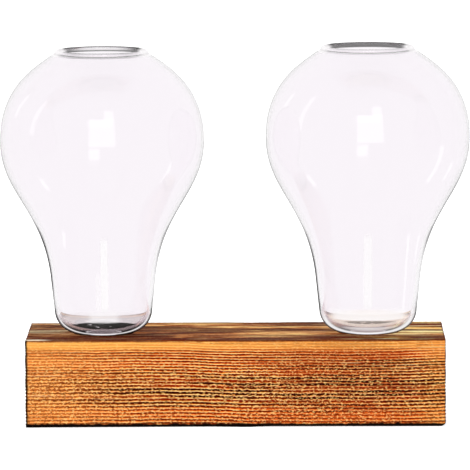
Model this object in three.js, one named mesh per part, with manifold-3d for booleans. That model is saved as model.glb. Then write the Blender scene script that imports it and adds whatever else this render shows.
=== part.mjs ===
// Two blown-glass bulb vases for growing plants in water, standing on one solid block of
// softwood. Each vase nests by the rounded corner of its foot on the bevelled rim of a hole
// drilled in the block's top, and lifts straight out to be filled or washed.
//
// Millimetres and degrees. +X runs along the block, +Y to the back and +Z up. The origin is
// the centre of the block's underside.

import * as THREE from 'three';
import { RoundedBoxGeometry } from 'three/addons/geometries/RoundedBoxGeometry.js';
import { mergeVertices } from 'three/addons/utils/BufferGeometryUtils.js';
import Module from 'manifold-3d';

const { degToRad, radToDeg } = THREE.MathUtils;

// Wooden block
const blockLength = 200;
const blockDepth = 60;
const blockHeight = 42;
const blockEdgeRadius = 0.8;

// Seats: a drilled hole with a bevelled rim under each vase
const seatSpacing = 127;
const seatHoleRadius = 15;
const seatHoleDepth = 8;
const seatBevelWidth = 1;
const seatClearance = 0.3;

// Foot of a vase, with a shallow dome pushed up in its underside
const footRadius = 23.4;
const footCornerRadius = 11;
const footRingWidth = 4;
const domeRise = 1.2;

// Thickness of the glass, which thins from the neck to the bulb as it is blown
const neckWall = 2;
const bulbWall = 1.2;
const floorThickness = 3.2;
const floorCornerRadius = 8.5;

// Neck, bulb and mouth, with a bead melted round the mouth
const neckRadius = 25;
const neckHeight = 26;
const bulbRadius = 48.8;
const crownHeight = 43.5;
const mouthRadius = 20;
const mouthSlope = 38;
const beadRadius = 1.2;

// The vases are blown by hand, so one is a little taller
const leftHeight = 136;
const rightHeight = 137.5;
const vases = [
  { name: 'left_glass_vase', side: -1, height: leftHeight },
  { name: 'right_glass_vase', side: 1, height: rightHeight },
];

// How full the bulb is: the share of its height below or above the widest ring over which
// each end of the curve holds its direction
const neckHold = 0.52;
const widestHoldBelow = 0.38;
const widestHoldAbove = 0.63;
const mouthHold = 0.23;

// Facets
const sectors = 56;
const curveSteps = 8;
const cornerSteps = 6;
const beadSteps = 8;
const domeSteps = 3;
const blockEdgeSteps = 3;

// The drill and the bevel cut past the block's top
const cutOvershoot = 2;

const woodMaterial = new THREE.MeshStandardMaterial({
  color: 0xc47a3c,
  roughness: 0.7,
  metalness: 0,
});
const glassMaterial = new THREE.MeshStandardMaterial({
  color: 0xf4eef6,
  roughness: 0.05,
  metalness: 0,
  transparent: true,
  opacity: 0.3,
});

const wasm = await Module();
wasm.setup();

// An outline is drawn in radius against height, and an angle in it is taken up from outward

function offset(point, distance, angle) {
  const radians = degToRad(angle);
  return new THREE.Vector2(
    point.x + distance * Math.cos(radians),
    point.y + distance * Math.sin(radians),
  );
}

function arc(centre, radius, from, to, steps) {
  return Array.from({ length: steps + 1 }, (_, i) =>
    offset(centre, radius, from + ((to - from) * i) / steps));
}

// Points of a curve, moved square off it towards the axis by a depth that runs evenly from
// its start to its end
function curvePoints(curve, startDepth, endDepth) {
  return Array.from({ length: curveSteps + 1 }, (_, i) => {
    const share = i / curveSteps;
    const along = curve.getTangent(share);
    const outward = new THREE.Vector2(along.y, -along.x);
    const depth = THREE.MathUtils.lerp(startDepth, endDepth, share);
    return curve.getPoint(share).addScaledVector(outward, -depth);
  });
}

// The dome in the foot's underside, from the axis to the ring that the vase stands on
function dome() {
  const rimRadius = footRadius - footCornerRadius - footRingWidth;
  const radius = (rimRadius ** 2 + domeRise ** 2) / (2 * domeRise);
  const centre = new THREE.Vector2(0, domeRise - radius);
  const top = new THREE.Vector2(0, domeRise);
  return [top, ...arc(centre, radius, 90, radToDeg(Math.acos(rimRadius / radius)), domeSteps).slice(1)];
}

// The foot's round corner ends at the angle where it runs smoothly into the neck
const neck = new THREE.Vector2(neckRadius, neckHeight);
const footCornerCentre = new THREE.Vector2(footRadius - footCornerRadius, footCornerRadius);
const toNeck = neck.clone().sub(footCornerCentre);
const footCornerEnd = radToDeg(
  Math.atan2(toNeck.y, toNeck.x) - Math.acos(footCornerRadius / toNeck.length()),
);

function footCorner() {
  return arc(footCornerCentre, footCornerRadius, -90, footCornerEnd, cornerSteps);
}

// The floor's corner touches the inside of the neck's wall and the top of the floor
function floorCorner() {
  const end = degToRad(footCornerEnd);
  const rise = floorThickness + floorCornerRadius - footCornerCentre.y;
  const reach = footCornerRadius - neckWall - floorCornerRadius - rise * Math.sin(end);
  const centre = new THREE.Vector2(
    footCornerCentre.x + reach / Math.cos(end),
    floorThickness + floorCornerRadius,
  );
  return arc(centre, floorCornerRadius, footCornerEnd, -90, cornerSteps);
}

function beadCentre(height) {
  return new THREE.Vector2(mouthRadius + beadRadius, height - beadRadius);
}

// Half the angle that the wall takes up on the bead's round
const beadFootAngle = radToDeg(Math.asin(bulbWall / 2 / beadRadius));

// The bead's round from the outside of the wall over the top to its inside
function bead(height) {
  const from = beadFootAngle - mouthSlope;
  const to = 360 - beadFootAngle - mouthSlope;
  return arc(beadCentre(height), beadRadius, from, to, beadSteps).slice(1, -1);
}

// One surface of the glass from the neck to the bead, by its depth in the neck and the bulb
function bulbSide(height, neckDepth, bulbDepth) {
  const widest = new THREE.Vector2(bulbRadius, height - crownHeight);
  const mouth = offset(beadCentre(height), beadRadius, beadFootAngle - mouthSlope);
  const waistHeight = widest.y - neck.y;
  const below = new THREE.CubicBezierCurve(
    neck,
    offset(neck, neckHold * waistHeight, footCornerEnd + 90),
    offset(widest, widestHoldBelow * waistHeight, -90),
    widest,
  );
  const above = new THREE.CubicBezierCurve(
    widest,
    offset(widest, widestHoldAbove * crownHeight, 90),
    offset(mouth, mouthHold * crownHeight, -mouthSlope),
    mouth,
  );
  return [
    ...curvePoints(below, neckDepth, bulbDepth),
    ...curvePoints(above, bulbDepth, bulbDepth).slice(1),
  ];
}

// A lathed shape is made about Y, and stands about Z once turned
function upright(outline) {
  return new THREE.LatheGeometry(outline, sectors).rotateX(Math.PI / 2);
}

function glassVase(height) {
  return upright([
    ...dome(),
    ...footCorner(),
    ...bulbSide(height, 0, 0),
    ...bead(height),
    ...bulbSide(height, neckWall, bulbWall).reverse(),
    ...floorCorner(),
    new THREE.Vector2(0, floorThickness),
  ]);
}

// The bevel's slope is that of the foot's corner where the two meet, in the middle of the bevel
const seatRingRadius = seatHoleRadius + seatBevelWidth / 2;
const seatSlope = Math.asin(
  (seatRingRadius - footCornerCentre.x) / (footCornerRadius + seatClearance),
);
const seatBevelDepth = seatBevelWidth * Math.tan(seatSlope);

// Height of a seated vase's foot above the block's underside
const footLevel = blockHeight - seatBevelDepth / 2 - footCornerRadius
  + (footCornerRadius + seatClearance) * Math.cos(seatSlope);

// What is drilled out of the block, from the level of its top
function seatCut() {
  return upright([
    new THREE.Vector2(0, -seatHoleDepth),
    new THREE.Vector2(seatHoleRadius, -seatHoleDepth),
    new THREE.Vector2(seatHoleRadius, -seatBevelDepth),
    new THREE.Vector2(seatHoleRadius + seatBevelWidth, 0),
    new THREE.Vector2(seatHoleRadius + seatBevelWidth, cutOvershoot),
    new THREE.Vector2(0, cutOvershoot),
  ]);
}

function seatPlace(side, level) {
  return new THREE.Vector3((side * seatSpacing) / 2, 0, level);
}

function toSolid(geometry) {
  const bare = geometry.clone();
  bare.deleteAttribute('normal');
  bare.deleteAttribute('uv');
  const merged = mergeVertices(bare);
  return new wasm.Manifold(new wasm.Mesh({
    numProp: 3,
    vertProperties: merged.attributes.position.array,
    triVerts: Uint32Array.from(merged.index.array),
  }));
}

function toGeometry(solid) {
  const { vertProperties, triVerts } = solid.getMesh();
  const geometry = new THREE.BufferGeometry();
  geometry.setAttribute('position', new THREE.BufferAttribute(vertProperties, 3));
  geometry.setIndex(new THREE.BufferAttribute(triVerts, 1));
  geometry.computeVertexNormals();
  return geometry;
}

function woodenBase() {
  const blank = new RoundedBoxGeometry(
    blockLength,
    blockDepth,
    blockHeight,
    blockEdgeSteps,
    blockEdgeRadius,
  );
  blank.translate(0, 0, blockHeight / 2);
  let block = toSolid(blank);
  for (const { side } of vases) {
    const cut = seatCut().translate(...seatPlace(side, blockHeight));
    block = block.subtract(toSolid(cut));
  }
  return toGeometry(block);
}

const hydroponicVase = new THREE.Group();

const base = new THREE.Mesh(woodenBase(), woodMaterial);
base.name = 'wooden_base';
hydroponicVase.add(base);

for (const { name, side, height } of vases) {
  const vase = new THREE.Mesh(glassVase(height), glassMaterial.clone());
  vase.name = name;
  vase.position.copy(seatPlace(side, footLevel));
  hydroponicVase.add(vase);
}

export default hydroponicVase;
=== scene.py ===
import math

import bpy
import numpy as np
from mathutils import Matrix, Vector


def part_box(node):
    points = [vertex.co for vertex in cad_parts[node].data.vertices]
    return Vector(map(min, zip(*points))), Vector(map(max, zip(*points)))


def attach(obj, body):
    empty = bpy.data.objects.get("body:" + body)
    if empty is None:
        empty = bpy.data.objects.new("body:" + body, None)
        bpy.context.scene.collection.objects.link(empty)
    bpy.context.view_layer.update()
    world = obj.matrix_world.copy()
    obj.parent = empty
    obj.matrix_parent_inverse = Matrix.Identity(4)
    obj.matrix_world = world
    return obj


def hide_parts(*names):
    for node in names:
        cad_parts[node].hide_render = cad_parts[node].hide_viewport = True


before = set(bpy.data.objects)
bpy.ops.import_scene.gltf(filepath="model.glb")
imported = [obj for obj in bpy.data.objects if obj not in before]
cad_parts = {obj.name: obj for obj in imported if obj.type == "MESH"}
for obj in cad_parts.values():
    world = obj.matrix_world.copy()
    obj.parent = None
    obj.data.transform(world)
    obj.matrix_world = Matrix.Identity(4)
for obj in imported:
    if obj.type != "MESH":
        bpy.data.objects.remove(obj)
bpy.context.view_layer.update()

# Two blown-glass bulb vases on a block of scorched and brushed softwood. All sizes are in
# metres, in the frame's own axes: +X along the block, +Y to the back and +Z up.

mm = 0.001

block_low, block_high = (Vector(corner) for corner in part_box("wooden_base"))
block_centre = (block_low + block_high) / 2
block_half = (block_high - block_low) / 2
block_height_mm = 2 * block_half.z / mm
block_edge_radius = 0.8 * mm

# Facets of the block: steps of its grid along X, Y and Z, and how many cross a rounded edge
grid_steps = (1.4 * mm, 0.7 * mm, 0.32 * mm)
edge_steps = 4

# Seats
seat_hole_radius = 15 * mm
seat_hole_depth = 8 * mm
seat_bevel_width = 1 * mm
seat_segments = 128
cut_overshoot = 2 * mm

# Foot of a vase
foot_radius = 23.4 * mm
foot_corner_radius = 11 * mm
foot_ring_width = 4 * mm
dome_rise = 1.2 * mm

# Glass, thinner in the bulb than in the neck, with a bead melted round the mouth
neck_wall = 2 * mm
bulb_wall = 1.2 * mm
floor_thickness = 3.2 * mm
floor_corner_radius = 8.5 * mm
neck_radius = 25 * mm
neck_height = 26 * mm
crown_height = 43.5 * mm
mouth_radius = 20 * mm
mouth_slope = math.radians(38)
bead_radius = 1.2 * mm

# How full the bulb is, as shares of its height below or above the widest ring
neck_hold = 0.52
widest_hold_below = 0.38
widest_hold_above = 0.63
mouth_hold = 0.23

glass_segments = 192
curve_steps = 44
corner_steps = 14
dome_steps = 8

# Growth rings cross the block almost level. They tilt down to the back, so they show close
# together on the front and far apart on the top. They lie closer and farther apart in turn, by
# so many rings to a millimetre and over a length in mm.
ring_tilt = 0.19
ring_rise_along_x = 0.004
rings_per_mm = 0.695
ring_crowding = 0.095
ring_crowding_length = 60

# Slow waves in the rings: height in mm, wavelengths along X, Y and Z in mm, and phase
ring_waves = [
    (0.5, 181, 260, 300, 0.4),
    (0.16, 67, 95, 140, 2.1),
    (0.06, 29, 41, 55, 4.0),
    (0.03, 13, 19, 21, 1.3),
]
groove_depth = 0.35 * mm

# A knocked corner, in mm: how far it reaches along each face
chip_reach = 2.2

# Stretches of the wood that look different, by height or by place along X or Y, in mm: where
# each starts, is full, fades and ends
pale_band_heights = (35.5, 39.0, 41.0, 41.6)
dark_lines_heights = (7, 14, 21, 30)
upper_lines_heights = (21, 26, 32, 36)
red_stretch = (5, 35, 72, 90)
worn_edge_places = (-29.8, -29.2, -26.5, -25)

# What is painted on each of the two blown vases: shade, glow and highlights that stand in for
# what the glass refracts and mirrors. A line, a strip and the glow start, are full, fade and end at
# the four numbers given.
#   left_line, right_line: heights above the foot, in mm, of the painted dark line down each side
#   right_faint, foot_line: how dark the right line is elsewhere, and the line round the foot
#   highlight_strips: painted highlights as pale strips, each with its places across the vase,
#     its heights and its share
#   crescent: painted shade, a dark crescent for the seat seen through the foot: its height
#     and half its tallness, in mm, how squarely its middle faces the direction below, by how
#     much less its ends do, and its share
#   crescent_faces: the direction that the crescent faces
#   painted_glow: how squarely the glass faces the eye where its painted pale glow shows
#   floor_light, floor_share: the colour of the thick floor's painted glow and its share
#   seat_shade_colour: the colour of the seat under the vase, charred and darkened by painted shade
#   rim_shade, rim_front: how dark the painted shade on the bead of the mouth is at its back and
#     at its front
glass_marks = {
    "left": {
        "left_line": (12, 26, 44, 64),
        "right_line": (26, 44, 62, 78),
        "right_faint": 0.1,
        "foot_line": 1.0,
        "highlight_strips": [
            ((-0.6, 0.2, 2.8, 3.6), (11, 15, 46, 50), 0.85),
            ((-3.0, -2.4, -1.2, -0.6), (11, 15, 29, 33), 0.4),
            ((-8.0, -4.0, 6.0, 10.0), (7.0, 7.8, 11, 15), 0.5),
        ],
        "crescent": (5.8, 2.0, 0.92, 0.3, 0.98),
        "crescent_faces": (0.04, -0.99, 0.14),
        "painted_glow": (0.25, 0.31, 0.33, 0.4),
        "floor_light": (0.9, 0.86, 0.86, 1),
        "floor_share": 0.35,
        "seat_shade_colour": (0.007, 0.004, 0.003, 1),
        "rim_shade": 0.15,
        "rim_front": 0.4,
    },
    "right": {
        "left_line": (6, 12, 34, 60),
        "right_line": (34, 46, 66, 80),
        "right_faint": 0.12,
        "foot_line": 0.8,
        "highlight_strips": [
            ((-2.8, -2.0, 1.1, 1.9), (12, 16, 48, 52), 0.7),
            ((-22.0, -16.0, 16.0, 22.0), (7.8, 8.5, 11, 15), 0.75),
            ((-20.0, -10.0, 12.0, 20.0), (1.6, 2.4, 4.2, 5.2), 0.55),
        ],
        "crescent": (7.2, 0.9, 0.96, 0.2, 0.6),
        "crescent_faces": (-0.02, -0.99, 0.14),
        "painted_glow": (0.2, 0.28, 0.38, 0.5),
        "floor_light": (1.0, 0.86, 0.72, 1),
        "floor_share": 0.45,
        "seat_shade_colour": (0.188, 0.065, 0.023, 1),
        "rim_shade": 0.8,
        "rim_front": 0.22,
    },
}


# Shapes

def vase_box(side):
    low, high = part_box(f"{side}_glass_vase")
    return Vector(low), Vector(high)


def polar(centre, radius, angle):
    return np.array([centre[0] + radius * math.cos(angle), centre[1] + radius * math.sin(angle)])


def arc(centre, radius, start, end, steps=corner_steps):
    return np.array([polar(centre, radius, a) for a in np.linspace(start, end, steps + 1)])


def bezier_with_normals(corners):
    t = np.linspace(0, 1, curve_steps + 1)[:, None]
    a, b, c, d = (np.array(corner) for corner in corners)
    points = (1 - t) ** 3 * a + 3 * t * (1 - t) ** 2 * b + 3 * t**2 * (1 - t) * c + t**3 * d
    along = (1 - t) ** 2 * (b - a) + 2 * t * (1 - t) * (c - b) + t**2 * (d - c)
    along /= np.linalg.norm(along, axis=1)[:, None]
    return points, np.column_stack([along[:, 1], -along[:, 0]])


def glass_outline(height, bulb_radius):
    """Radius and height of every ring of points, from the dome under the foot up the outside
    and down the inside to the middle of the floor."""
    corner = (foot_radius - foot_corner_radius, foot_corner_radius)
    to_neck = (neck_radius - corner[0], neck_height - corner[1])
    corner_end = math.atan2(to_neck[1], to_neck[0]) - math.acos(
        foot_corner_radius / math.hypot(*to_neck)
    )
    ring = corner[0] - foot_ring_width
    dome_radius = (ring**2 + dome_rise**2) / (2 * dome_rise)
    dome_centre = (0, dome_rise - dome_radius)
    dome_end = math.acos(ring / dome_radius)
    dome = arc(dome_centre, dome_radius, math.pi / 2, dome_end, dome_steps)
    foot = arc(corner, foot_corner_radius, -math.pi / 2, corner_end)

    bead_centre = (mouth_radius + bead_radius, height - bead_radius)
    bead_foot = math.asin(bulb_wall / 2 / bead_radius)
    bead_start = bead_foot - mouth_slope
    bead_end = 2 * math.pi - bead_foot - mouth_slope
    bead = arc(bead_centre, bead_radius, bead_start, bead_end)[1:-1]

    neck = np.array([neck_radius, neck_height])
    widest = np.array([bulb_radius, height - crown_height])
    mouth = polar(bead_centre, bead_radius, bead_start)
    rise = widest[1] - neck_height
    below, below_normals = bezier_with_normals([
        neck,
        polar(neck, neck_hold * rise, corner_end + math.pi / 2),
        polar(widest, widest_hold_below * rise, -math.pi / 2),
        widest,
    ])
    above, above_normals = bezier_with_normals([
        widest,
        polar(widest, widest_hold_above * crown_height, math.pi / 2),
        polar(mouth, mouth_hold * crown_height, -mouth_slope),
        mouth,
    ])
    outer = np.vstack([below, above[1:]])
    normals = np.vstack([below_normals, above_normals[1:]])
    wall = np.linspace(neck_wall, bulb_wall, len(below))
    wall = np.concatenate([wall, np.full(len(above) - 1, bulb_wall)])
    inner = outer - wall[:, None] * normals

    floor_rise = floor_thickness + floor_corner_radius - corner[1]
    reach = foot_corner_radius - neck_wall - floor_corner_radius - floor_rise * math.sin(corner_end)
    floor_centre = (corner[0] + reach / math.cos(corner_end), floor_thickness + floor_corner_radius)
    floor = arc(floor_centre, floor_corner_radius, corner_end, -math.pi / 2)
    middle = np.array([[0, floor_thickness]])
    return np.vstack([dome, foot, outer[1:], bead, inner[::-1], floor[1:], middle])


def lathe(outline, segments):
    """Vertices and faces of a closed body turned about Z from an outline whose first and
    last points are on the axis."""
    turn = np.linspace(0, 2 * math.pi, segments, endpoint=False)
    rings = outline[1:-1]
    x = rings[:, :1] * np.cos(turn)
    y = rings[:, :1] * np.sin(turn)
    z = np.repeat(rings[:, 1:], segments, axis=1)
    points = np.stack([x, y, z], axis=-1).reshape(-1, 3)
    points = np.vstack([points, [0, 0, outline[0, 1]], [0, 0, outline[-1, 1]]])
    first, last = len(points) - 2, len(points) - 1
    faces = []
    for j in range(segments):
        k = (j + 1) % segments
        faces.append((first, k, j))
        for i in range(len(rings) - 1):
            here, up = i * segments, (i + 1) * segments
            faces.append((here + j, here + k, up + k, up + j))
        end = (len(rings) - 1) * segments
        faces.append((last, end + j, end + k))
    return points, faces


def new_object(name, points, faces, smooth=True):
    mesh = bpy.data.meshes.new(name)
    mesh.from_pydata([tuple(p) for p in points], [], faces)
    mesh.validate()
    mesh.polygons.foreach_set("use_smooth", [smooth] * len(mesh.polygons))
    mesh.update()
    piece = bpy.data.objects.new(name, mesh)
    bpy.context.scene.collection.objects.link(piece)
    return piece


def glass_vase(side):
    low, high = vase_box(side)
    outline = glass_outline(high.z - low.z, (high.x - low.x) / 2)
    points, faces = lathe(outline, glass_segments)
    points += np.array([(low.x + high.x) / 2, (low.y + high.y) / 2, low.z])
    vase = new_object(f"{side}_blown_vase", points, faces)
    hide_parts(f"{side}_glass_vase")
    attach(vase, f"{side}_vase")
    return vase


# Wood

def ring_count(x, y, z):
    """How many growth rings lie below a point of the block. The point is in mm from the
    middle of the block's underside."""
    level = z + ring_tilt * (y + block_half.y / mm) + ring_rise_along_x * x
    for height, along_x, along_y, along_z, phase in ring_waves:
        level = level + height * np.sin(
            2 * math.pi * (x / along_x + y / along_y + z / along_z) + phase
        )
    below_top = block_height_mm - level
    swing = ring_crowding * ring_crowding_length / (2 * math.pi)
    wave = np.sin(2 * math.pi * below_top / ring_crowding_length)
    return -rings_per_mm * below_top - swing * wave


def smoothstep(low, high, value):
    t = np.clip((value - low) / (high - low), 0, 1)
    return t * t * (3 - 2 * t)


def latewood(rings):
    """1 on the hard dark line that ends each ring, 0 on the soft wood between."""
    phase = rings - np.floor(rings)
    return smoothstep(0.35, 0.8, phase) * (1 - smoothstep(0.9, 1.0, phase))


def spaced(half, step):
    """Places from -half to half, closer together where the edge is rounded."""
    edge = np.linspace(0, block_edge_radius, edge_steps + 1)[:-1]
    count = round((2 * half - 2 * block_edge_radius) / step)
    middle = np.linspace(-half + block_edge_radius, half - block_edge_radius, count + 1)
    return np.concatenate([-half + edge, middle, half - edge[::-1]])


def block_shell():
    """Points and faces of the block's skin: one grid on each side, joined along the edges."""
    places = [spaced(half, step) for half, step in zip(block_half, grid_steps)]
    number = {}
    points = []

    def point(key):
        if key not in number:
            number[key] = len(points)
            points.append([places[axis][key[axis]] for axis in range(3)])
        return number[key]

    faces = []
    for axis in range(3):
        u, v = (axis + 1) % 3, (axis + 2) % 3
        for end in (0, len(places[axis]) - 1):
            for i in range(len(places[u]) - 1):
                for j in range(len(places[v]) - 1):
                    corners = []
                    for di, dj in ((0, 0), (1, 0), (1, 1), (0, 1)):
                        key = [0, 0, 0]
                        key[axis], key[u], key[v] = end, i + di, j + dj
                        corners.append(point(tuple(key)))
                    faces.append(corners if end else corners[::-1])
    return np.array(points), faces


def brushed_block():
    """The block with its edges rounded and the soft wood of its rings brushed out, each ring
    to its own depth."""
    points, faces = block_shell()
    half = np.array(block_half)
    inner = np.clip(points, block_edge_radius - half, half - block_edge_radius)
    outward = points - inner
    outward /= np.linalg.norm(outward, axis=1)[:, None]
    points = inner + block_edge_radius * outward + np.array(block_centre)
    x, y, z = (points / mm).T
    rings = ring_count(x, y, z)

    # Torn fibres roughen the grooves
    strength = 0.65 + 0.35 * np.sin(0.9 * rings + 0.021 * x + 1.7)
    fibre = 0.12 * np.sin(2.3 * x + 5 * rings) * np.sin(0.31 * x + 3.7 * z + 1.9 * y)
    depth = groove_depth * np.clip((1 - latewood(rings)) * strength + fibre, 0, 1)
    points = points - outward * depth[:, None]

    # The knocked corner runs, a little unevenly, along the bottom of the right end
    reach = chip_reach + 0.5 * np.sin(0.33 * y + 1) + 0.2 * np.sin(1.1 * y)
    cut = np.clip(reach - (half[0] / mm - x) - z, 0, None) / 2 * mm
    points[:, 0] -= cut
    points[:, 2] += cut
    return new_object("scorched_block", points, faces)


def seat_cutters():
    """What is drilled out of the block for each vase. The bevel slopes as the foot's round
    corner does over the middle of it."""
    hole_floor = block_high.z - seat_hole_depth
    bevel_middle = seat_hole_radius + seat_bevel_width / 2
    slope = math.asin((bevel_middle - (foot_radius - foot_corner_radius)) / foot_corner_radius)
    bevel_depth = seat_bevel_width * math.tan(slope)
    rim_radius = seat_hole_radius + seat_bevel_width
    outline = np.array([
        [0, hole_floor],
        [seat_hole_radius, hole_floor],
        [seat_hole_radius, block_high.z - bevel_depth],
        [rim_radius, block_high.z],
        [rim_radius, block_high.z + cut_overshoot],
        [0, block_high.z + cut_overshoot],
    ])
    cutters = []
    for side in glass_marks:
        low, high = vase_box(side)
        points, faces = lathe(outline, seat_segments)
        points += np.array([(low.x + high.x) / 2, (low.y + high.y) / 2, 0])
        cutters.append(new_object(f"{side}_seat_cutter", points, faces, smooth=False))
    return cutters


def wooden_block():
    block = brushed_block()
    cutters = seat_cutters()
    for cutter in cutters:
        cut = block.modifiers.new("seat", "BOOLEAN")
        cut.operation = "DIFFERENCE"
        cut.solver = "EXACT"
        cut.object = cutter
    shape = block.evaluated_get(bpy.context.evaluated_depsgraph_get())
    mesh = bpy.data.meshes.new_from_object(shape)
    block.modifiers.clear()
    block.data = mesh
    for cutter in cutters:
        bpy.data.objects.remove(cutter)
    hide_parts("wooden_base")
    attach(block, "base")
    return block


# Materials

def linear(red, green, blue):
    """A colour written as it shows on screen, from 0 to 255, as the light it stands for."""
    def channel(value):
        value /= 255
        return value / 12.92 if value <= 0.04045 else ((value + 0.055) / 1.055) ** 2.4
    return (channel(red), channel(green), channel(blue), 1)


class Graph:
    """Makes and joins shader nodes. A value is a number or another node's output."""

    def __init__(self, owner):
        self.tree = owner.node_tree
        self.tree.nodes.clear()

    def node(self, kind, **settings):
        node = self.tree.nodes.new(kind)
        for name, value in settings.items():
            setattr(node, name, value)
        return node

    def put(self, socket, value):
        if isinstance(value, bpy.types.NodeSocket):
            self.tree.links.new(value, socket)
        else:
            socket.default_value = value

    def math(self, operation, *values):
        node = self.node("ShaderNodeMath", operation=operation)
        for socket, value in zip(node.inputs, values):
            self.put(socket, value)
        return node.outputs[0]

    def add(self, a, b):
        return self.math("ADD", a, b)

    def less(self, a, b):
        return self.math("SUBTRACT", a, b)

    def over(self, a, b):
        return self.math("DIVIDE", a, b)

    def most(self, a, b):
        return self.math("MAXIMUM", a, b)

    def least(self, a, b):
        return self.math("MINIMUM", a, b)

    def size(self, a):
        return self.math("ABSOLUTE", a)

    def times(self, *values):
        product = values[0]
        for value in values[1:]:
            product = self.math("MULTIPLY", product, value)
        return product

    def length(self, a, b):
        """How long a line is that goes a along one axis and b along another."""
        return self.math("SQRT", self.add(self.times(a, a), self.times(b, b)))

    def between(self, share, a, b):
        """Goes from a to b as the share goes from 0 to 1."""
        return self.add(self.times(a, self.less(1.0, share)), self.times(b, share))

    def ramp(self, value, low, high, to_low=0.0, to_high=1.0):
        """Runs smoothly from to_low to to_high while the value goes from low to high."""
        node = self.node("ShaderNodeMapRange", interpolation_type="SMOOTHSTEP")
        for socket, number in zip(node.inputs, (value, low, high, to_low, to_high)):
            self.put(socket, number)
        return node.outputs[0]

    def hump(self, value, start, full, fade, end):
        """0 up to start, 1 from full to fade and 0 again from end on."""
        return self.times(self.ramp(value, start, full), self.ramp(value, fade, end, 1.0, 0.0))

    def mix(self, share, a, b):
        node = self.node("ShaderNodeMix", data_type="RGBA", clamp_factor=True)
        self.put(node.inputs[0], share)
        self.put(node.inputs[6], a)
        self.put(node.inputs[7], b)
        return node.outputs[2]

    def colours(self, value, stops):
        """A colour that follows the value through the stops, each a place and its colour."""
        node = self.node("ShaderNodeValToRGB")
        marks = node.color_ramp.elements
        first, *others, last = stops
        marks[0].position, marks[0].color = first
        marks[1].position, marks[1].color = last
        for position, colour in others:
            marks.new(position).color = colour
        self.put(node.inputs[0], value)
        return node.outputs[0]

    def split(self, vector):
        node = self.node("ShaderNodeSeparateXYZ")
        self.put(node.inputs[0], vector)
        return tuple(node.outputs)

    def place(self, stretch=(1, 1, 1)):
        """The point's place in the frame, in mm, scaled along each axis."""
        where = self.node("ShaderNodeTexCoord").outputs["Object"]
        node = self.node("ShaderNodeMapping")
        self.put(node.inputs["Vector"], where)
        node.inputs["Scale"].default_value = [share / mm for share in stretch]
        return node.outputs[0]

    def noise(self, vector, detail, roughness=0.55):
        node = self.node("ShaderNodeTexNoise")
        self.put(node.inputs["Vector"], vector)
        node.inputs["Scale"].default_value = 1.0
        node.inputs["Detail"].default_value = detail
        node.inputs["Roughness"].default_value = roughness
        return node.outputs[0]

    def patches(self, per_mm, detail, roughness=0.55):
        """Random patches over the piece, so many to a millimetre along each axis."""
        return self.noise(self.place(per_mm), detail, roughness)

    def shader(self, kind, **inputs):
        """A shader whose inputs are given by their names, with _ for a space."""
        node = self.node(kind)
        for name, value in inputs.items():
            self.put(node.inputs[name.replace("_", " ")], value)
        return node.outputs[0]

    def blend(self, share, first, second):
        """The first shader, given over to the second by the share."""
        node = self.node("ShaderNodeMixShader")
        for socket, value in zip(node.inputs, (share, first, second)):
            self.put(socket, value)
        return node.outputs[0]

    def finish(self, shader, kind="ShaderNodeOutputMaterial"):
        self.put(self.node(kind).inputs[0], shader)


def new_material(name):
    material = bpy.data.materials.new(name)
    material.use_nodes = True
    return material


# Scorched softwood

def ring_nodes(graph, x, y, z):
    """The same count of rings as ring_count gives, worked out by nodes."""
    level = graph.add(z, graph.times(graph.add(y, block_half.y / mm), ring_tilt))
    level = graph.add(level, graph.times(x, ring_rise_along_x))
    for height, along_x, along_y, along_z, phase in ring_waves:
        turn = graph.times(x, 2 * math.pi / along_x)
        turn = graph.add(turn, graph.times(y, 2 * math.pi / along_y))
        turn = graph.add(turn, graph.times(z, 2 * math.pi / along_z))
        wave = graph.math("SINE", graph.add(turn, phase))
        level = graph.add(level, graph.times(wave, height))
    below_top = graph.less(block_height_mm, level)
    swing = ring_crowding * ring_crowding_length / (2 * math.pi)
    wave = graph.math("SINE", graph.times(below_top, 2 * math.pi / ring_crowding_length))
    return graph.add(graph.times(below_top, -rings_per_mm), graph.times(wave, -swing))


def ring_lines(graph, x, y, z, top, pale_band):
    """How far through its ring a point is, the share of the hard dark line that ends the
    ring, and the line's tone."""
    rings = ring_nodes(graph, x, y, z)

    # The brush frays the line, least in smooth patches, at the right end and high up
    fray = graph.patches((0.6, 0.9, 0.9), detail=1, roughness=0.5)
    rough = graph.patches((0.02, 0.07, 0.07), detail=1)
    fray_width = graph.times(
        graph.ramp(rough, 0.38, 0.6, 0.25, 0.9),
        graph.ramp(x, 55, 90, 1.0, 0.45),
        graph.ramp(z, 22, 34, 1.0, 0.6),
        graph.ramp(top, 0.0, 1.0, 1.0, 0.3),
    )
    drift = graph.patches((0.07, 0.4, 0.4), detail=2)
    drift_width = 0.4
    frayed = graph.add(rings, graph.times(graph.add(fray, -0.5), fray_width))
    frayed = graph.add(frayed, graph.times(graph.add(drift, -0.5), drift_width))
    phase = graph.math("FRACT", frayed)

    # It starts sooner where the lines are wide and dark: low on the front, and higher up at
    # the right
    upper_zone = graph.times(
        graph.hump(z, *upper_lines_heights), graph.ramp(x, 0, 55, 0.0, 0.7))
    dark_zone = graph.most(graph.hump(z, *dark_lines_heights), upper_zone)
    early = graph.add(phase, graph.times(dark_zone, 0.17))
    line = graph.times(graph.ramp(early, 0.43, 0.53), graph.ramp(phase, 0.93, 1.0, 1.0, 0.0))

    # Each line changes along its length, and all are faint at the left end and in the pale
    # band below the top
    along = graph.node("ShaderNodeCombineXYZ")
    graph.put(along.inputs[0], graph.times(x, 0.012))
    graph.put(along.inputs[1], graph.times(graph.math("FLOOR", rings), 1.37))
    tone = graph.noise(along.outputs[0], detail=2)
    broken = graph.patches((0.3, 1.1, 1.1), detail=3)
    line = graph.times(
        line,
        graph.ramp(tone, 0.36, 0.52, 0.6, 1.0),
        graph.ramp(broken, 0.28, 0.4, 0.75, 1.0),
        graph.add(0.8, graph.times(dark_zone, 0.2)),
        graph.ramp(x, -98, -40, 0.62, 1.0),
        graph.ramp(pale_band, 0.0, 1.0, 1.0, 0.2),
    )
    return phase, line, tone


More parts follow.
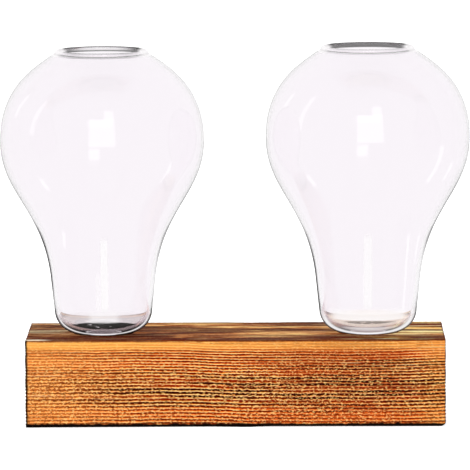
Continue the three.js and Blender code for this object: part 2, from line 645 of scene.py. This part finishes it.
def front_colour(graph, x, z, pale_band, phase, line, tone):
    """Soft wood that runs from cream to red-brown through each ring, and dark lines."""
    soft = graph.colours(phase, [
        (0.0, linear(255, 246, 180)),
        (0.15, linear(255, 196, 98)),
        (0.3, linear(255, 124, 28)),
        (0.45, linear(224, 56, 4)),
    ])
    brown_patch = graph.patches((0.018, 0.09, 0.09), detail=3)
    red_patch = graph.patches((0.03, 0.13, 0.17), detail=4, roughness=0.6)
    redder_right = graph.add(red_patch, graph.times(x, 0.001))
    red_share = graph.times(graph.hump(x, *red_stretch), graph.ramp(z, 6, 30, 0.3, 0.6))
    soft = graph.mix(graph.ramp(brown_patch, 0.45, 0.7, 0.0, 0.3), soft, linear(216, 110, 46))
    soft = graph.mix(graph.ramp(redder_right, 0.5, 0.7, 0.0, 0.6), soft, linear(206, 74, 26))
    soft = graph.mix(red_share, soft, linear(196, 80, 26))

    # Paler along the bottom, at both ends and in the band below the top
    soft = graph.mix(graph.ramp(z, 4, 14, 0.35, 0.0), soft, linear(250, 118, 40))
    soft = graph.mix(graph.ramp(x, -100, -20, 0.7, 0.0), soft, linear(255, 162, 78))
    soft = graph.mix(graph.times(pale_band, 0.75), soft, linear(252, 182, 88))
    soft = graph.mix(graph.ramp(x, 84, 95, 0.0, 0.6), soft, linear(255, 162, 74))
    return graph.mix(line, soft, graph.mix(tone, linear(8, 0, 0), linear(38, 2, 0)))


def top_colour(graph, x, y):
    """The top is scorched to a greyer brown, with cream and dark streaks at its right end."""
    streak = graph.patches((0.012, 0.09, 0.3), detail=4, roughness=0.8)
    middle = graph.colours(streak, [
        (0.42, linear(64, 20, 4)),
        (0.48, linear(142, 78, 38)),
        (0.54, linear(204, 128, 70)),
        (0.6, linear(255, 208, 132)),
    ])
    right_end = graph.colours(streak, [
        (0.42, linear(90, 24, 0)),
        (0.465, linear(214, 118, 40)),
        (0.505, linear(255, 192, 90)),
        (0.56, linear(255, 244, 176)),
    ])
    left_end = graph.colours(streak, [
        (0.4, linear(80, 40, 20)),
        (0.44, linear(180, 120, 74)),
        (0.49, linear(226, 168, 112)),
        (0.54, linear(255, 234, 184)),
    ])
    colour = graph.mix(graph.ramp(x, -90, -50, 1.0, 0.0), middle, left_end)
    colour = graph.mix(graph.ramp(x, 35, 75), colour, right_end)

    # Long dark seams, pale cracks and thin dark grain
    seam = graph.hump(graph.patches((0.006, 0.1, 0.3), detail=1), 0.4, 0.44, 0.5, 0.54)
    colour = graph.mix(graph.times(seam, 0.7), colour, linear(58, 20, 8))
    crack = graph.hump(graph.patches((0.008, 0.17, 0.4), detail=0), 0.44, 0.48, 0.54, 0.58)
    crack_share = graph.times(crack, graph.ramp(x, 25, 70, 0.1, 0.6))
    colour = graph.mix(crack_share, colour, linear(255, 222, 164))
    grain = graph.patches((0.005, 0.17, 0.3), detail=2, roughness=0.7)
    grain_share = graph.times(
        graph.ramp(grain, 0.44, 0.49, 1.0, 0.0), graph.ramp(x, -60, 80, 0.45, 0.8))
    colour = graph.mix(grain_share, colour, linear(70, 20, 4))

    # Darker streaks towards the front
    rim = graph.patches((0.014, 0.15, 0.3), detail=3, roughness=0.7)
    rim_share = graph.times(
        graph.ramp(y, -27, -8, 1.0, 0.0), graph.ramp(rim, 0.44, 0.52, 0.15, 1.0))
    return graph.mix(rim_share, colour, linear(78, 18, 2))


def torn_fibres(graph, colour, z, top, pale_band):
    """The colour with bright and dark specks where the brush has torn the fibres, and with
    the fibres themselves, and how high both stand."""
    speck = graph.patches((0.9, 1.4, 1.4), detail=1, roughness=0.5)
    fibre = graph.patches((0.25, 6, 6), detail=2)
    torn = graph.times(
        graph.ramp(top, 0.0, 1.0, 0.7, 0.15), graph.ramp(z, 26, 38, 1.0, 0.5))
    bright = graph.times(graph.ramp(speck, 0.56, 0.67), torn)
    dark = graph.times(
        graph.ramp(speck, 0.32, 0.42, 1.0, 0.0), torn, graph.less(1.0, pale_band))
    colour = graph.mix(bright, colour, linear(255, 210, 128))
    colour = graph.mix(dark, colour, linear(66, 8, 0))
    colour = graph.mix(graph.ramp(fibre, 0.3, 0.7, 0.16, 0.0), colour, linear(110, 30, 4))
    return colour, graph.add(fibre, speck)


def burnt_and_shaded_edges(graph, colour, x, y, z, top, underside):
    """Black along the bottom, charred and with painted shade under the rounded lower edge, black
    along the left, red-brown and broken along the top, and worn pale at the left of the top's
    front edge."""
    uneven = graph.add(0.45, graph.patches((0.35, 0.35, 0.35), detail=3))
    from_x = graph.less(block_half.x / mm, graph.size(x))
    from_y = graph.less(block_half.y / mm, graph.size(y))
    from_side = graph.most(from_x, from_y)
    from_top = graph.most(graph.less(block_height_mm, z), graph.least(from_x, from_y))
    side_reach = graph.times(uneven, graph.ramp(x, -50, 50, 1.5, 0.6))
    side_edge = graph.ramp(graph.over(from_side, side_reach), 0.5, 1.3, 0.95, 0.0)
    top_edge = graph.ramp(graph.over(from_top, uneven), 0.5, 1.3, 0.85, 0.0)
    # Painted shade: the bottom edge is black as the shade under the block's rounding, as well as
    # charred
    low_edge_shade = graph.times(
        graph.ramp(graph.over(z, uneven), 1.5, 2.5, 1.0, 0.0), graph.less(1.0, underside))
    worn = graph.times(
        top, graph.ramp(x, -95, -86, 0.9, 0.0), graph.hump(y, *worn_edge_places))
    colour = graph.mix(top_edge, colour, linear(84, 34, 16))
    colour = graph.mix(worn, colour, linear(250, 236, 206))
    return graph.mix(graph.most(low_edge_shade, side_edge), colour, linear(8, 3, 2))


def charred_and_shaded_seats(graph, colour, x, y, z):
    """The colour with both seats charred and darkened by painted shade, and how far the nearer
    seat's middle is.
    """
    inside = graph.ramp(z, block_height_mm - 0.7, block_height_mm - 0.4, 1.0, 0.0)
    hole_radius = seat_hole_radius / mm
    reaches = []
    for side, marks in glass_marks.items():
        low, high = vase_box(side)
        reach = graph.length(graph.add(x, -(low.x + high.x) / 2 / mm), y)
        reaches.append(reach)
        # Painted shade: inside its hole the seat is darkened beyond the block's charring
        hole = graph.ramp(reach, hole_radius + 0.1, hole_radius + 0.4, 0.95, 0.0)
        colour = graph.mix(graph.times(hole, inside), colour, marks["seat_shade_colour"])
    return colour, graph.least(*reaches)


def wood_material():
    material = new_material("scorched_softwood")
    graph = Graph(material)
    x, y, z = graph.split(graph.place())
    normal = graph.split(graph.node("ShaderNodeNewGeometry").outputs["True Normal"])
    top = graph.ramp(normal[2], 0.5, 0.9)
    underside = graph.ramp(normal[2], -0.99, -0.93, 1.0, 0.0)
    end = graph.ramp(graph.size(normal[0]), 0.5, 0.9)
    pale_band = graph.times(
        graph.hump(z, *pale_band_heights), graph.ramp(x, -20, 50, 1.0, 0.85))

    phase, line, tone = ring_lines(graph, x, y, z, top, pale_band)
    front = front_colour(graph, x, z, pale_band, phase, line, tone)
    colour = graph.mix(top, front, top_colour(graph, x, y))
    end_colour = graph.mix(line, linear(148, 86, 46), linear(44, 20, 10))
    colour = graph.mix(graph.times(end, 0.9), colour, end_colour)
    colour, relief = torn_fibres(graph, colour, z, top, pale_band)
    colour = burnt_and_shaded_edges(graph, colour, x, y, z, top, underside)
    colour, from_seat = charred_and_shaded_seats(graph, colour, x, y, z)

    # Painted reflection: where the glass mirrors the wood, the wood is painted a pale pink-white,
    # so that the glass mirrors it only faintly, other than round its own foot
    depth = graph.node("ShaderNodeLightPath").outputs["Glossy Depth"]
    pale_in_mirror = graph.ramp(from_seat, 18, 24, 0.3, 0.75)
    colour = graph.mix(graph.times(graph.least(depth, 1.0), pale_in_mirror), colour, (1, 0.9, 0.94, 1))

    bump = graph.shader(
        "ShaderNodeBump",
        Strength=0.5,
        Distance=0.2 * mm,
        Height=graph.add(relief, graph.times(line, 0.8)),
    )
    graph.finish(graph.shader(
        "ShaderNodeBsdfPrincipled",
        Base_Color=colour,
        Roughness=graph.ramp(line, 0, 1, 0.75, 0.55),
        Specular_IOR_Level=0.03,
        Normal=bump,
    ))
    return material


# Blown glass

glass_colour = (0.975, 0.951, 0.975, 1)
glass_ior = 1.48
shade_colour = (0.03, 0.03, 0.028, 1)
painted_glow_colour = (1, 0.98, 0.99, 1)
shadow_colour = (0.97, 0.96, 0.97, 1)

# Where the dark lines end, as how squarely the glass faces the eye there
bulb_line_width = 0.17
waist_line_width = 0.3
foot_line_width = 0.26
bead_line_width = 0.9

# Heights above the foot, in mm, between which the waist starts, is full, fades and ends
waist_heights = (3, 12, 44, 62)

# How dark the left line is away from its full part, and what the full part of each adds
left_faint = 0.2
left_added = 0.75
right_added = 0.45


def painted_edge_shade(graph, marks, facing, normal, above_foot, bead, round_mouth):
    """Painted shade: a thin dark line where the glass turns away from the eye, standing in for the
    dark surroundings that it refracts, wider in the thick neck than in the thin bulb, and round the
    foot and the bead of the mouth."""
    waist = graph.hump(above_foot, *waist_heights)
    foot = graph.ramp(above_foot, 9.0, 15.0, 1.0, 0.0)
    side_width = graph.ramp(waist, 0, 1, bulb_line_width, waist_line_width)
    width = graph.add(side_width, graph.times(bead, bead_line_width))
    width = graph.most(width, graph.times(foot, foot_line_width))
    left_line = graph.hump(above_foot, *marks["left_line"])
    right_line = graph.hump(above_foot, *marks["right_line"])
    strength = graph.between(
        graph.ramp(normal[0], -0.4, 0.4),
        graph.add(left_faint, graph.times(left_line, left_added)),
        graph.add(marks["right_faint"], graph.times(right_line, right_added)),
    )
    strength = graph.most(strength, graph.times(foot, marks["foot_line"]))
    bead_strength = graph.add(
        graph.ramp(round_mouth, 0.3, 0.6, 0.0, 0.8),
        graph.ramp(round_mouth, -0.9, -0.5, marks["rim_front"], 0.0),
    )
    strength = graph.between(bead, strength, bead_strength)
    turned = graph.ramp(graph.over(facing, width), 0.5, 1.0, 1.0, 0.0)
    rim_shade = graph.times(
        bead, graph.ramp(round_mouth, 0.35, 0.6, 0.0, marks["rim_shade"]))
    return graph.most(graph.times(turned, strength), rim_shade)


def painted_seat_crescent(graph, marks, normal, above_foot):
    """A painted dark crescent on the round front of the foot, painted shade that stands in for the
    charred seat seen through it, with painted pale glints."""
    at, tall, centre, wide, share = marks["crescent"]
    ahead = 0.0
    for part, towards in zip(normal, marks["crescent_faces"]):
        ahead = graph.add(ahead, graph.times(part, towards))
    ahead = graph.over(ahead, graph.length(normal[0], normal[1]))
    off_centre = graph.add(
        graph.times(graph.size(graph.add(above_foot, -at)), 1 / tall),
        graph.times(graph.less(centre, ahead), 1 / wide),
    )
    painted_glint = graph.patches((0.22, 0.22, 1.5), detail=2)
    return graph.times(
        graph.ramp(off_centre, 0.85, 1.1, 1.0, 0.0),
        graph.ramp(above_foot, 9, 10, 1.0, 0.0),
        graph.ramp(painted_glint, 0.6, 0.66, share, 0.1),
    )


def painted_glow_and_highlights(graph, marks, facing, normal, above_foot, across, bead, round_mouth):
    """Painted light: the thick foot and the bead glow pale, standing in for the light of the white
    room that they gather, and painted highlights stand as pale strips on the front."""
    painted_glow_band = graph.times(
        graph.ramp(above_foot, 6, 14, 0.85, 0.0), graph.hump(facing, *marks["painted_glow"]))
    bead_end_glow = graph.times(bead, graph.ramp(graph.size(round_mouth), 0.35, 0.7, 0.8, 0.0))
    painted_light_share = graph.most(painted_glow_band, bead_end_glow)
    # Painted highlights: pale strips that stand in for softboxes mirrored in the glass
    for places, heights, share in marks["highlight_strips"]:
        highlight_strip = graph.times(
            graph.hump(across, *places),
            graph.hump(above_foot, *heights),
            graph.ramp(normal[1], -0.8, -0.5, share, 0.0),
        )
        painted_light_share = graph.most(painted_light_share, highlight_strip)
    return painted_light_share


def glass_material(side):
    material = new_material(f"{side}_blown_glass")
    graph = Graph(material)
    marks = glass_marks[side]
    low, high = vase_box(side)
    middle = (low + high) / 2 / mm
    x, y, z = graph.split(graph.place())
    above_foot = graph.add(z, -low.z / mm)
    across = graph.add(x, -middle.x)
    along = graph.add(y, -middle.y)
    round_mouth = graph.over(along, graph.length(across, along))
    bead = graph.ramp(graph.less(high.z / mm, z), 2.3, 2.8, 1.0, 0.0)

    paths = graph.node("ShaderNodeLightPath").outputs
    geometry = graph.node("ShaderNodeNewGeometry").outputs
    normal = graph.split(geometry["Normal"])
    weight = graph.node("ShaderNodeLayerWeight")
    weight.inputs["Blend"].default_value = 0.5
    facing = graph.less(1.0, weight.outputs["Facing"])

    # 1 while the vase stands in its seat, and 0 once it is lifted
    level_now = graph.times(graph.split(geometry["Position"])[2], 1 / mm)
    seated = graph.ramp(graph.less(level_now, z), 0.5, 6.0, 1.0, 0.0)

    # Painted shade: dark lines drawn on the glass's edges for the eye
    painted_edge_line = graph.times(
        painted_edge_shade(graph, marks, facing, normal, above_foot, bead, round_mouth),
        paths["Is Camera Ray"],
    )
    # Painted shade: the dark crescent of the seat, drawn for the eye while the vase stands
    crescent = graph.times(
        painted_seat_crescent(graph, marks, normal, above_foot), paths["Is Camera Ray"], seated)
    painted_light_share = graph.times(
        painted_glow_and_highlights(graph, marks, facing, normal, above_foot, across, bead, round_mouth),
        graph.less(1.0, painted_edge_line),
        paths["Is Camera Ray"],
    )
    # Painted light: the thick floor glows for the eye and through the glass while the vase stands
    floor_glow = graph.times(
        graph.ramp(normal[2], 0.4, 0.8),
        graph.ramp(above_foot, 6.0, 8.0, 1.0, 0.0),
        graph.most(paths["Is Camera Ray"], paths["Is Transmission Ray"]),
        graph.times(seated, marks["floor_share"]),
    )

    glass = graph.shader(
        "ShaderNodeBsdfPrincipled",
        Base_Color=glass_colour,
        Roughness=0.0,
        IOR=glass_ior,
        Transmission_Weight=1.0,
    )
    shade = graph.shader("ShaderNodeBsdfDiffuse", Color=shade_colour)
    glow = graph.shader("ShaderNodeEmission", Color=marks["floor_light"])
    # Painted light: the foot, the bead and the strips glow white, though they are no lamp
    painted_glow = graph.shader("ShaderNodeEmission", Color=painted_glow_colour)
    surface = graph.blend(graph.most(painted_edge_line, crescent), glass, shade)
    surface = graph.blend(floor_glow, surface, glow)
    surface = graph.blend(painted_light_share, surface, painted_glow)

    # Lamps shine through, so that the shadows stay pale
    clear = graph.shader("ShaderNodeBsdfTransparent", Color=shadow_colour)
    graph.finish(graph.blend(paths["Is Shadow Ray"], surface, clear))
    return material


# Studio

# Softboxes that the glass mirrors: azimuth from the front and height, width and tallness, all
# in degrees, and brightness
softboxes = [
    (2, 13.5, 30, 31, 2.0),
    (11, 34, 12, 14, 2.0),
    (-7, -10.5, 12, 12, 1.8),
    (-1, 24, 30, 8, 1.0),
    (-7, -12, 12, 26, 0.4),
    (-85, 22, 6, 36, 1.4),
    (-88, -40, 7, 10, 1.5),
    (92, -24, 6, 32, 1.4),
    (-121, 19, 5, 18, 0.9),
    (119, -25, 5, 12, 0.9),
]

# A softbox's light fades over this much on either side of its edge, in degrees
softbox_edge = 1.6

# How bright the white room is in what the glass mirrors, and overhead
mirrored_room = 0.97
ceiling_light = 0.82

# How bright the room is for the light that falls on the wood
room_light = 0.62

# Lamps: name, place and size in metres, and power in watts
lamps = [
    ("key", (-0.9, -1.9, 1.6), 1.4, 39),
    ("fill", (1.6, -1.4, 0.9), 1.6, 12),
    ("rear", (0.3, 1.8, 1.5), 1.6, 10),
]

# The paper under the object: half its width in metres, its colour, and the light it adds for
# the camera to show white
paper_half = 30
paper_colour = (0.8, 0.8, 0.8, 1)
paper_glow = 0.62

# The camera as fitted to the photo: place in metres, turns in degrees and focal length in mm
camera_place = (0.0219, -2.256, 0.369)
camera_yaw = 0.56
camera_pitch = 7.09
camera_roll = -0.29
camera_lens = 363.3


def studio_world():
    world = bpy.data.worlds.new("studio")
    world.use_nodes = True
    bpy.context.scene.world = world
    graph = Graph(world)
    paths = graph.node("ShaderNodeLightPath").outputs
    x, y, z = graph.split(graph.node("ShaderNodeTexCoord").outputs["Generated"])
    azimuth = graph.times(graph.math("ARCTAN2", x, graph.times(y, -1.0)), 180 / math.pi)
    height = graph.times(graph.math("ARCSINE", z), 180 / math.pi)
    room = graph.ramp(height, 50, 80, 1.0, ceiling_light)

    boxes = 0.0
    for at, up, width, tall, bright in softboxes:
        across = graph.size(graph.add(azimuth, -at))
        along = graph.size(graph.add(height, -up))
        lit = graph.times(
            graph.ramp(across, width / 2 - softbox_edge, width / 2 + softbox_edge, bright, 0.0),
            graph.ramp(along, tall / 2 - softbox_edge, tall / 2 + softbox_edge, 1.0, 0.0),
        )
        boxes = graph.add(boxes, lit)
    mirrored = graph.add(graph.times(room, mirrored_room), boxes)

    # Light that has passed through glass counts as glossy too, so it is taken out of what
    # is mirrored
    through = paths["Is Transmission Ray"]
    reflected = graph.times(paths["Is Glossy Ray"], graph.less(1.0, through))
    strength = graph.add(room_light, graph.times(paths["Is Camera Ray"], 1.0 - room_light))
    strength = graph.add(strength, graph.times(through, graph.add(room, -room_light)))
    strength = graph.add(strength, graph.times(reflected, graph.add(mirrored, -room_light)))
    background = graph.shader("ShaderNodeBackground", Color=(1, 1, 1, 1), Strength=strength)
    graph.finish(background, "ShaderNodeOutputWorld")


def lamp(name, place, size, power):
    light = bpy.data.lights.new(name, "AREA")
    light.shape = "SQUARE"
    light.size = size
    light.energy = power
    holder = bpy.data.objects.new(name, light)
    bpy.context.scene.collection.objects.link(holder)
    holder.location = place
    direction = block_centre - Vector(place)
    holder.rotation_euler = direction.to_track_quat("-Z", "Y").to_euler()
    holder.visible_camera = False
    holder.visible_glossy = False
    holder.visible_transmission = False


def studio_floor():
    half = paper_half
    corners = [(-half, -half, 0), (half, -half, 0), (half, half, 0), (-half, half, 0)]
    floor = new_object("studio_floor", corners, [(0, 1, 2, 3)], smooth=False)
    floor.visible_glossy = False
    floor.visible_transmission = False
    material = new_material("white_paper")
    graph = Graph(material)
    seen = graph.node("ShaderNodeLightPath").outputs["Is Camera Ray"]
    both = graph.node("ShaderNodeAddShader")
    graph.put(both.inputs[0], graph.shader("ShaderNodeBsdfDiffuse", Color=paper_colour))
    graph.put(both.inputs[1], graph.shader(
        "ShaderNodeEmission", Strength=graph.times(seen, paper_glow)))
    graph.finish(both.outputs[0])
    floor.data.materials.append(material)


def camera():
    yaw, pitch, roll = (math.radians(a) for a in (camera_yaw, camera_pitch, camera_roll))
    forward = Vector((
        -math.sin(yaw) * math.cos(pitch),
        math.cos(yaw) * math.cos(pitch),
        -math.sin(pitch),
    ))
    level = Vector((math.cos(yaw), math.sin(yaw), 0))
    upright = level.cross(forward)
    right = math.cos(roll) * level + math.sin(roll) * upright
    up = math.cos(roll) * upright - math.sin(roll) * level
    data = bpy.data.cameras.new("camera")
    data.sensor_width = 36
    data.lens = camera_lens
    data.clip_end = 100
    holder = bpy.data.objects.new("camera", data)
    bpy.context.scene.collection.objects.link(holder)
    turn = Matrix((right, up, -forward)).transposed().to_4x4()
    holder.matrix_world = Matrix.Translation(camera_place) @ turn
    bpy.context.scene.camera = holder


camera()
wood = wood_material()
block = wooden_block()
block.data.materials.clear()
block.data.materials.append(wood)
for side in glass_marks:
    glass_vase(side).data.materials.append(glass_material(side))
studio_floor()
studio_world()
for name, place, size, power in lamps:
    lamp(name, place, size, power)
bpy.context.scene.view_settings.view_transform = "Standard"
